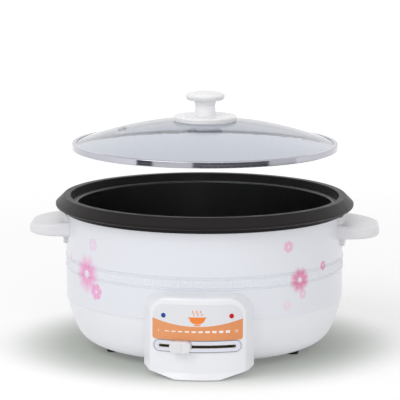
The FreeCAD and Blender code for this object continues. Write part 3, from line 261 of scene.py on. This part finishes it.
def panelFinish():
    look = panelPrint
    material, tree, shader, place = newMaterial("panelPrinted")
    parts = add(tree, "ShaderNodeSeparateXYZ", {0: place}).outputs
    across = maths(tree, "MULTIPLY", parts["X"], 1 / mm)
    height = maths(tree, "MULTIPLY", parts["Z"], 1 / mm)
    share = maths(tree, "DIVIDE", across, look["halfWidth"])
    hollow = maths(tree, "MULTIPLY", share, share)
    top = maths(tree, "MULTIPLY_ADD", hollow, look["bandRise"], look["bandMiddle"])
    band = ramp(tree, maths(tree, "SUBTRACT", top, height), -0.1, 0.1)
    drift = noise(tree, place, 30.0, 3.0)
    # the orange deepens a little from left to right across the panel
    along = ramp(tree, across, -look["halfWidth"], look["halfWidth"])
    warm = blendColour(tree, along, look["orange"], look["orangeDeep"])
    pale = blendColour(tree, drift, look["grey"], tuple(c * 0.985 for c in look["grey"][:3]) + (1.0,))
    tree.links.new(blendColour(tree, band, pale, warm), shader.inputs["Base Color"])
    tree.links.new(ramp(tree, drift, 0.3, 0.7, 0.36, 0.42), shader.inputs["Roughness"])
    return material


def tinted(name, colour, roughness, ior, shade, grain=40.0):
    # clear stuff: the tint is constant, only the roughness drifts, and light falls through
    material, tree, shader, place = newMaterial(name)
    shader.inputs["Base Color"].default_value = colour
    shader.inputs["Transmission Weight"].default_value = 1.0
    shader.inputs["IOR"].default_value = ior
    tree.links.new(ramp(tree, noise(tree, place, grain), 0.3, 0.7, roughness, roughness + 0.01),
                   shader.inputs["Roughness"])
    through = add(tree, "ShaderNodeBsdfTransparent", {"Color": shade}).outputs[0]
    shadow = add(tree, "ShaderNodeLightPath").outputs["Is Shadow Ray"]
    mixed = add(tree, "ShaderNodeMixShader", {0: shadow, 1: shader.outputs[0], 2: through}).outputs[0]
    tree.links.new(mixed, tree.nodes["Material Output"].inputs["Surface"])
    return material


def lens(name, colour):
    material, tree, shader, place = newMaterial(name)
    glow = noise(tree, place, 700.0)
    deep = tuple(c * 0.75 for c in colour[:3]) + (1.0,)
    tree.links.new(blendColour(tree, glow, deep, colour), shader.inputs["Base Color"])
    shader.inputs["Roughness"].default_value = 0.3
    shader.inputs["Specular IOR Level"].default_value = 0.25
    return material


def brushedRim():
    material, tree, shader, place = newMaterial("polishedLidSteel")
    lines = noise(tree, place, 12.0, 2.0, 0.5, (1, 1, 60))
    colour = blendColour(tree, lines, srgb(168, 168, 178), srgb(196, 196, 204))
    tree.links.new(colour, shader.inputs["Base Color"])
    tree.links.new(ramp(tree, lines, 0.3, 0.7, 0.07, 0.11), shader.inputs["Roughness"])
    shader.inputs["Metallic"].default_value = 1.0
    return material


made["whiteShell"] = shellPrint()
made["panel"] = panelFinish()
made["lidGlass"] = tinted("clearLidGlass", (0.49, 0.515, 0.58, 1.0), 0.0, 1.48, (0.86, 0.88, 0.9, 1.0))
made["lensBlue"] = lens("lampBlue", srgb(26, 74, 158))
made["lensRed"] = lens("lampRed", srgb(206, 0, 8))
made["lidSteel"] = brushedRim()
print("materials made")

dress = {
    "whiteShell": ["body_shell"],
    "whiteHousing": ["base_shell", "control_housing", "housing_base"],
    "whiteHandle": ["handle_left", "handle_right", "slider_knob"],
    "whiteKnob": ["knob_grip", "knob_collar"],
    "blackRim": ["rim_ring"],
    "darkPot": ["inner_pot"],
    "sheetSteel": ["base_pan", "heat_reflector", "thermostat_bracket", "fuse_clip"],
    "screwSteel": ["foot_screws", "housing_screws", "handle_screws", "knob_screw", "reflector_posts",
                   "plate_spacers", "thermostat_spindle", "vent_eyelet"],
    "leverSteel": ["lever_arm"],
    "railBrass": ["slot_rails"],
    "rubberBlack": ["foot_front_right", "foot_back_right", "foot_back_left", "foot_front_left",
                    "knob_washer"],
    "castAlloy": ["heater_plate"],
    "heatedSheath": ["heater_element"],
    "thermostatClay": ["thermostat"],
    "wovenSleeve": ["thermal_fuse"],
    "glazedPorcelain": ["terminal_block"],
    "wireRed": ["internal_wires"],
    "inletBlack": ["inlet_socket"],
    "platedBrass": ["inlet_pins"],
    "bezelSilver": ["slot_bezel"],
    "panel": ["control_faceplate"],
    "lensBlue": ["lamp_lens_blue"],
    "lensRed": ["lamp_lens_red"],
    "neonGlow": ["neon_lamps"],
    "lidGlass": ["lid_glass"],
    "lidSteel": ["lid_rim"],
}
for finish, nodeNames in dress.items():
    for nodeName in nodeNames:
        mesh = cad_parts[nodeName].data
        mesh.materials.clear()
        mesh.materials.append(made[finish])


# meshes in place

def meshObject(name, mesh, material):
    piece = bpy.data.objects.new(name, mesh)
    bpy.context.collection.objects.link(piece)
    mesh.materials.clear()
    mesh.materials.append(material)
    return piece


def outlineToMesh(name, rings, faces):
    mesh = bpy.data.meshes.new(name)
    mesh.from_pydata([tuple(point) for point in rings], [], faces)
    shape = bmesh.new()
    shape.from_mesh(mesh)
    bmesh.ops.recalc_face_normals(shape, faces=shape.faces)
    shape.to_mesh(mesh)
    shape.free()
    return mesh


# fret in low relief: one hook drawn as a bent ridge, repeated round the shell. Sizes are in mm,
# and the hook's turns are shares of its pitch and of its height

fret = {
    "count": 70, "low": 94.6, "high": 102.6, "ridge": 1.15, "proud": 0.3, "draft": 0.3, "sink": 0.3,
    "skirt": 0.05, "left": -0.42, "right": 0.24, "inner": -0.10, "drop": 0.36, "curl": 0.66,
}


def ridgeOutline(path, half):
    # both sides of a path with square turns, half a ridge away from it
    def side(sign):
        points = []
        for index, point in enumerate(path):
            before = path[index - 1] if index else None
            after = path[index + 1] if index + 1 < len(path) else None
            ways = []
            if before is not None:
                ways.append((Vector(point) - Vector(before)).normalized())
            if after is not None:
                ways.append((Vector(after) - Vector(point)).normalized())
            shift = Vector((0.0, 0.0))
            for way in ways:
                shift += Vector((-way.y, way.x)) * half * sign
            if before is None:
                shift -= ways[0] * half
            if after is None:
                shift += ways[0] * half
            points.append(Vector(point) + shift)
        return points
    return side(1) + list(reversed(side(-1)))


def fretUnit():
    width = 2 * math.pi * shellRadius / mm / fret["count"]
    low, high, half = fret["low"], fret["high"], fret["ridge"] / 2
    tall = high - low
    left, right, middle = fret["left"] * width, fret["right"] * width, fret["inner"] * width
    drop, curl = low + fret["drop"] * tall, low + fret["curl"] * tall
    path = [(left, low), (left, high), (right, high), (right, drop), (middle, drop), (middle, curl)]
    outer = ridgeOutline(path, half)
    inner = ridgeOutline(path, half - fret["draft"])

    def onShell(point, proud):
        radius = shellRadius + proud * mm
        angle = point.x * mm / shellRadius
        return Vector((radius * math.sin(angle), -radius * math.cos(angle), point.y * mm))

    count = len(outer)
    points = [onShell(p, -fret["sink"]) for p in outer] + [onShell(p, fret["skirt"]) for p in outer]
    points += [onShell(p, fret["proud"]) for p in inner]
    faces = []
    for level in (0, count):
        for i in range(count):
            after = (i + 1) % count
            faces.append((level + i, level + after, level + count + after, level + count + i))
    last = len(path)
    for level in (0, 2 * count):
        for i in range(last - 1):
            faces.append((level + i, level + i + 1, level + count - 2 - i, level + count - 1 - i))
    return outlineToMesh("fretHook", points, faces)


def repeatTurned(name, unitMesh, material, count, step, start=0.0, growth=0.0, body="base"):
    # a tree that turns copies of a unit about the upright through the origin, each a little taller
    unit = bpy.data.objects.new(name + "Unit", unitMesh)
    bpy.context.collection.objects.link(unit)
    tree = bpy.data.node_groups.new(name + "Tree", "GeometryNodeTree")
    face = tree.interface
    face.new_socket("Geometry", in_out="INPUT", socket_type="NodeSocketGeometry")
    sockets = {}
    for label, kind in (("Unit", "Object"), ("Count", "Int"), ("Step", "Float"), ("Start", "Float"),
                        ("Growth", "Float"), ("Finish", "Material")):
        sockets[label] = face.new_socket(label, in_out="INPUT", socket_type="NodeSocket" + kind).identifier
    face.new_socket("Geometry", in_out="OUTPUT", socket_type="NodeSocketGeometry")
    given = tree.nodes.new("NodeGroupInput").outputs
    result = tree.nodes.new("NodeGroupOutput")
    source = add(tree, "GeometryNodeObjectInfo", {"Object": given["Unit"]}).outputs["Geometry"]
    spots = add(tree, "GeometryNodeMeshLine", {"Count": given["Count"], "Offset": (0, 0, 0)}).outputs["Mesh"]
    index = add(tree, "GeometryNodeInputIndex").outputs[0]
    turn = maths(tree, "MULTIPLY_ADD", index, given["Step"], given["Start"])
    tall = maths(tree, "MULTIPLY_ADD", index, given["Growth"], 1.0)
    turning = add(tree, "ShaderNodeCombineXYZ", {"Z": turn}).outputs[0]
    sizing = add(tree, "ShaderNodeCombineXYZ", {"X": 1.0, "Y": 1.0, "Z": tall}).outputs[0]
    copies = add(tree, "GeometryNodeInstanceOnPoints", {
        "Points": spots, "Instance": source, "Rotation": turning, "Scale": sizing,
    }).outputs[0]
    solid = add(tree, "GeometryNodeRealizeInstances", {"Geometry": copies}).outputs[0]
    dressed = add(tree, "GeometryNodeSetMaterial", {
        "Geometry": solid, "Material": given["Finish"],
    }).outputs[0]
    tree.links.new(dressed, result.inputs[0])
    carrier = bpy.data.objects.new(name + "Carrier", bpy.data.meshes.new(name + "Carrier"))
    bpy.context.collection.objects.link(carrier)
    modifier = carrier.modifiers.new("Repeat", "NODES")
    modifier.node_group = tree
    values = {
        "Unit": unit, "Count": count, "Step": step, "Start": start, "Growth": growth, "Finish": material,
    }
    for label, value in values.items():
        modifier[sockets[label]] = value
    bpy.context.view_layer.update()
    graph = bpy.context.evaluated_depsgraph_get()
    mesh = bpy.data.meshes.new_from_object(carrier.evaluated_get(graph))
    mesh.name = name
    carrier.modifiers.clear()
    bpy.data.objects.remove(carrier)
    bpy.data.objects.remove(unit)
    piece = meshObject(name, mesh, material)
    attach(piece, body)
    return piece


fretBand = repeatTurned("fret_band", fretUnit(), made["whiteShell"], fret["count"],
                        2 * math.pi / fret["count"])
print("fret band made")


# marks on the panel

marks = {
    "ply": 0.42, "lift": 0.05, "dashCount": 10, "dashHeight": 53.0, "dashWide": 4.6, "dashTall": 0.9,
    "dashGrowth": 0.22, "dashReach": 32.7, "numberSize": 4.2, "numberOut": 42.2, "numberHeight": 53.0,
    "signHeight": 67.7, "signSize": 8.4,
}

# the sign's measures are shares of its size
bowlSign = {
    "bowlDeep": 0.78, "brimHalf": 1.16, "brimTall": 0.13, "footHalf": 0.42, "footTop": 0.84,
    "footLow": 0.98, "steamApart": 0.5, "steamSway": 0.11, "steamHalf": 0.055, "steamLow": 0.3,
    "steamTall": 0.72,
}


def onFace(across, height, proud):
    # a point of the flat drawing, laid on the curved panel: all in millimetres
    radius = (faceRadius / mm + proud) * mm
    angle = across * mm / faceRadius
    return Vector((radius * math.sin(angle), -pivotOut - radius * math.cos(angle), height * mm))


def dashUnit():
    half, tall, cuts = marks["dashWide"] / 2, marks["dashTall"] / 2, 4
    low, high = marks["ply"], marks["ply"] + marks["lift"]
    columns = [-half + 2 * half * i / cuts for i in range(cuts + 1)]
    points = []
    for proud in (low, high):
        for level in (-tall, tall):
            for across in columns:
                spot = onFace(across, level, proud)
                points.append(Vector((spot.x, spot.y + pivotOut, spot.z)))
    row = cuts + 1
    faces = []
    for i in range(cuts):
        faces.append((i, i + 1, row + i + 1, row + i))
        faces.append((2 * row + i, 2 * row + i + 1, 3 * row + i + 1, 3 * row + i))
        faces.append((i, i + 1, 2 * row + i + 1, 2 * row + i))
        faces.append((row + i, row + i + 1, 3 * row + i + 1, 3 * row + i))
    faces.append((0, row, 3 * row, 2 * row))
    faces.append((cuts, row + cuts, 3 * row + cuts, 2 * row + cuts))
    return outlineToMesh("dash", points, faces)


def panelDashes():
    span = marks["dashReach"] / (faceRadius / mm)
    step = 2 * span / (marks["dashCount"] - 1)
    dashes = repeatTurned("panel_dashes", dashUnit(), made["printWhite"], marks["dashCount"], step, -span,
                          marks["dashGrowth"])
    dashes.data.transform(Matrix.Translation((0, -pivotOut, marks["dashHeight"] * mm)))


def flatCurve(name, kind):
    data = bpy.data.curves.new(name, kind)
    data.extrude = marks["lift"] / 2
    data.fill_mode = "BOTH"
    piece = bpy.data.objects.new(name, data)
    bpy.context.collection.objects.link(piece)
    return data, piece


def cutIntoStrips(mesh, step):
    # upright cuts, so that a wide flat face can follow the curved panel
    shape = bmesh.new()
    shape.from_mesh(mesh)
    reach = [vertex.co.x for vertex in shape.verts]
    place = min(reach) + step
    while place < max(reach):
        geometry = shape.verts[:] + shape.edges[:] + shape.faces[:]
        bmesh.ops.bisect_plane(shape, geom=geometry, dist=1e-5, plane_co=(place, 0, 0), plane_no=(1, 0, 0))
        place += step
    bmesh.ops.recalc_face_normals(shape, faces=shape.faces)
    shape.to_mesh(mesh)
    shape.free()


def layOnFace(name, piece, material, across, height):
    # flat drawing in millimetres, made a mesh and bent onto the panel
    bpy.context.view_layer.update()
    graph = bpy.context.evaluated_depsgraph_get()
    mesh = bpy.data.meshes.new_from_object(piece.evaluated_get(graph))
    bpy.data.objects.remove(piece)
    cutIntoStrips(mesh, 1.0)
    for vertex in mesh.vertices:
        flat = vertex.co.copy()
        vertex.co = onFace(flat.x + across, flat.y + height, marks["ply"] + marks["lift"] / 2 + flat.z)
    mesh.name = name
    printed = meshObject(name, mesh, material)
    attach(printed, "base")
    return printed


def panelNumbers():
    out = marks["numberOut"]
    for name, words, across in (("number_low", "1", -out), ("number_high", "10", out)):
        data, piece = flatCurve(name, "FONT")
        data.body = words
        data.size = marks["numberSize"]
        data.align_x = "CENTER"
        data.align_y = "CENTER"
        number = layOnFace(name, piece, made["printWhite"], across, marks["numberHeight"])


def addSpline(data, points):
    spline = data.splines.new("POLY")
    spline.points.add(len(points) - 1)
    for index, (across, up) in enumerate(points):
        spline.points[index].co = (across, up, 0.0, 1.0)
    spline.use_cyclic_u = True


def panelSign():
    # a plain bowl with three wisps of steam
    data, piece = flatCurve("bowl_sign", "CURVE")
    data.dimensions = "2D"
    size = marks["signSize"]
    arc = [math.pi + math.pi * i / 24 for i in range(25)]
    bowl = [(size * math.cos(a), size * bowlSign["bowlDeep"] * math.sin(a)) for a in arc]
    brim, rise = size * bowlSign["brimHalf"], size * bowlSign["brimTall"]
    addSpline(data, bowl + [(brim, 0.0), (brim, rise), (-brim, rise), (-brim, 0.0)])
    foot, top, low = size * bowlSign["footHalf"], -size * bowlSign["footTop"], -size * bowlSign["footLow"]
    addSpline(data, [(-foot, top), (foot, top), (foot, low), (-foot, low)])

    def wispEdge(place, aside):
        points = []
        for i in range(15):
            step = i / 14
            sway = bowlSign["steamSway"] * math.sin(2 * math.pi * step)
            up = bowlSign["steamLow"] + bowlSign["steamTall"] * step
            points.append((size * (place + sway + aside), size * up))
        return points

    for place in (-bowlSign["steamApart"], 0.0, bowlSign["steamApart"]):
        left, right = wispEdge(place, -bowlSign["steamHalf"]), wispEdge(place, bowlSign["steamHalf"])
        addSpline(data, left + list(reversed(right)))
    printed = layOnFace("bowl_sign", piece, made["printOrange"], 0.0, marks["signHeight"])


# trims round the slot: the frame's dark edge and the bright lining of the slot itself

trims = {
    "frameHalf": 47.5, "frameTall": 12.0, "frameWire": 0.32, "frameProud": 0.95,
    "liningHalf": 40.6, "liningTall": 3.1, "liningWire": 0.26, "liningProud": 0.8, "level": 37.0,
}


def slotTrim(name, material, half, tall, wire, proud):
    data = bpy.data.curves.new(name, "CURVE")
    data.dimensions = "3D"
    data.bevel_depth = wire
    data.bevel_resolution = 2
    piece = bpy.data.objects.new(name, data)
    bpy.context.collection.objects.link(piece)
    radius = tall / 2
    reach = half - radius
    turns = [math.pi * i / 12 for i in range(13)]
    ends = [(reach + radius * math.sin(t), radius * math.cos(t)) for t in turns]
    straight = [(reach - 2 * reach * i / 40, -radius) for i in range(1, 40)]
    other = [(-reach - radius * math.sin(t), -radius * math.cos(t)) for t in turns]
    back = [(-reach + 2 * reach * i / 40, radius) for i in range(1, 40)]
    addSpline(data, ends + straight + other + back)
    trim = layOnFace(name, piece, material, 0.0, trims["level"])
    for vertex in trim.data.vertices:
        outward = Vector((vertex.co.x, vertex.co.y + pivotOut, 0.0)).normalized()
        vertex.co += outward * (proud - marks["ply"] - marks["lift"] / 2) * mm


slotTrim("bezel_edge", made["edgeSteel"], trims["frameHalf"], trims["frameTall"], trims["frameWire"],
         trims["frameProud"])
slotTrim("slot_lining", made["liningSteel"], trims["liningHalf"], trims["liningTall"], trims["liningWire"],
         trims["liningProud"])
panelDashes()
panelNumbers()
panelSign()
print("panel marks made")


# stage

studio = {
    "floor": srgb(246, 246, 246), "floorGlow": 0.16, "farGlow": 0.6, "world": 0.62,
    # painted shade round the pot: a darker floor colour for camera rays only, in place of the pot's shadow
    "paintedPotShade": srgb(152, 158, 150), "shadeInner": 0.135, "shadeOuter": 0.25,
    # painted reflection: a dark patch on the floor, seen only by glossy rays, mirrored as dark blocks in
    # polished metal
    "paintedReflectionPatch": (1.30, 1.95, -0.98, 1.45),
    "keyPower": 36.0, "keySize": 2.2, "fillPower": 7.0, "fillSize": 2.4, "topPower": 10.0,
    "lowPower": 4.0, "lowSize": 0.5, "floorReach": 6.0,
    "keyPlace": (-1.7, -2.2, 2.3), "fillPlace": (2.4, -1.6, 1.5), "topPlace": (0.0, 0.6, 3.0),
    "lowPlace": (0.55, -2.3, 0.68), "aim": (0, 0, 0.1), "lowAim": (0, 0.14, 0.13),
}


def makeFloor():
    mesh = bpy.data.meshes.new("floor")
    reach = studio["floorReach"]
    corners = [(-reach, -reach, 0), (reach, -reach, 0), (reach, reach, 0), (-reach, reach, 0)]
    mesh.from_pydata(corners, [], [(0, 1, 2, 3)])
    material = bpy.data.materials.new("paleFloor")
    material.use_nodes = True
    tree = material.node_tree
    shader = tree.nodes["Principled BSDF"]
    shader.inputs["Roughness"].default_value = 0.9
    shader.inputs["Specular IOR Level"].default_value = 0.1
    rays = add(tree, "ShaderNodeLightPath").outputs
    seen = maths(tree, "MAXIMUM", rays["Is Camera Ray"], maths(tree, "MAXIMUM", rays["Is Glossy Ray"],
                                                               rays["Is Transmission Ray"]))
    # painted reflection: a dark patch in front, seen only by glossy rays, that polished metal mirrors as dark
    # blocks
    spot = add(tree, "ShaderNodeSeparateXYZ", {0: add(tree, "ShaderNodeTexCoord").outputs["Object"]}).outputs
    near, far, start, end = studio["paintedReflectionPatch"]
    squared = maths(tree, "MULTIPLY_ADD", spot["X"], spot["X"], maths(tree, "MULTIPLY", spot["Y"], spot["Y"]))
    away = maths(tree, "SQRT", squared)
    bearing = maths(tree, "ARCTAN2", spot["X"], maths(tree, "MULTIPLY", spot["Y"], -1.0))
    inRing = maths(tree, "MULTIPLY", ramp(tree, away, near, near + 0.04),
                   ramp(tree, away, far, far + 0.04, 1.0, 0.0))
    inSpan = maths(tree, "MULTIPLY", ramp(tree, bearing, start, start + 0.02),
                   ramp(tree, bearing, end, end + 0.02, 1.0, 0.0))
    blocks = ramp(tree, maths(tree, "SINE", maths(tree, "MULTIPLY", bearing, 3.7)), -0.55, -0.4, 0.35, 1.0)
    patch = maths(tree, "MULTIPLY", maths(tree, "MULTIPLY", inRing, inSpan), blocks)
    paintedReflection = maths(tree, "MULTIPLY", patch, rays["Is Glossy Ray"])
    # painted shade: a soft darker floor colour round the pot, seen by the camera only, standing in for the
    # pot's shadow
    nearPot = ramp(tree, away, studio["shadeInner"], studio["shadeOuter"], 1.0, 0.0)
    shaded = maths(tree, "MULTIPLY", nearPot, rays["Is Camera Ray"])
    paintedShadeFloor = blendColour(tree, shaded, studio["floor"], studio["paintedPotShade"])
    tree.links.new(blendColour(tree, paintedReflection, paintedShadeFloor, (0.01, 0.01, 0.02, 1.0)), shader.inputs["Base Color"])
    shader.inputs["Emission Color"].default_value = (1.0, 1.0, 0.985, 1.0)
    lift = ramp(tree, away, 0.4, 3.0, studio["floorGlow"], studio["farGlow"])
    glow = maths(tree, "MULTIPLY", seen, lift)
    tree.links.new(maths(tree, "MULTIPLY", glow, maths(tree, "SUBTRACT", 1.0, paintedReflection)),
                   shader.inputs["Emission Strength"])
    floor = meshObject("floor", mesh, material)


def makeWorld():
    world = bpy.data.worlds.new("paleRoom")
    bpy.context.scene.world = world
    world.use_nodes = True
    tree = world.node_tree
    background = tree.nodes["Background"]
    rays = add(tree, "ShaderNodeLightPath").outputs
    seen = maths(tree, "MAXIMUM", rays["Is Camera Ray"], maths(tree, "MAXIMUM", rays["Is Glossy Ray"],
                                                               rays["Is Transmission Ray"]))
    background.inputs["Color"].default_value = (1.0, 1.0, 1.0, 1.0)
    strength = maths(tree, "MULTIPLY_ADD", seen, 1.0 - studio["world"], studio["world"])
    tree.links.new(strength, background.inputs["Strength"])


def areaLamp(name, power, size, place, aim):
    data = bpy.data.lights.new(name, "AREA")
    data.energy = power
    data.size = size
    lamp = bpy.data.objects.new(name, data)
    bpy.context.collection.objects.link(lamp)
    lamp.location = place
    lamp.rotation_euler = (Vector(aim) - Vector(place)).to_track_quat("-Z", "Y").to_euler()


makeFloor()
makeWorld()
areaLamp("keyLamp", studio["keyPower"], studio["keySize"], studio["keyPlace"], studio["aim"])
areaLamp("fillLamp", studio["fillPower"], studio["fillSize"], studio["fillPlace"], studio["aim"])
areaLamp("topLamp", studio["topPower"], studio["fillSize"], studio["topPlace"], studio["aim"])
areaLamp("lowLamp", studio["lowPower"], studio["lowSize"], studio["lowPlace"], studio["lowAim"])
print("stage lit")


# camera

lensView = {
    "distance": 3.0, "height": 0.6654, "pitch": 0.16576, "pixels": 2720.5, "width": 400.0, "axisPixel": 204.8,
    "turn": 2.3, "roll": 0.19,
}


def makeCamera():
    look = lensView
    data = bpy.data.cameras.new("mainCamera")
    data.sensor_width = 36.0
    data.lens = look["pixels"] / look["width"] * data.sensor_width
    data.clip_end = 50.0
    camera = bpy.data.objects.new("mainCamera", data)
    bpy.context.collection.objects.link(camera)
    turn = math.radians(look["turn"])
    camera.location = (look["distance"] * math.sin(turn), -look["distance"] * math.cos(turn), look["height"])
    aside = math.atan((look["axisPixel"] - look["width"] / 2) / look["pixels"])
    heading = Matrix.Rotation(turn + aside, 4, "Z") @ Matrix.Rotation(math.pi / 2 - look["pitch"], 4, "X")
    camera.rotation_euler = (heading @ Matrix.Rotation(math.radians(look["roll"]), 4, "Z")).to_euler()
    bpy.context.scene.camera = camera


makeCamera()
bpy.context.scene.view_settings.view_transform = "Standard"
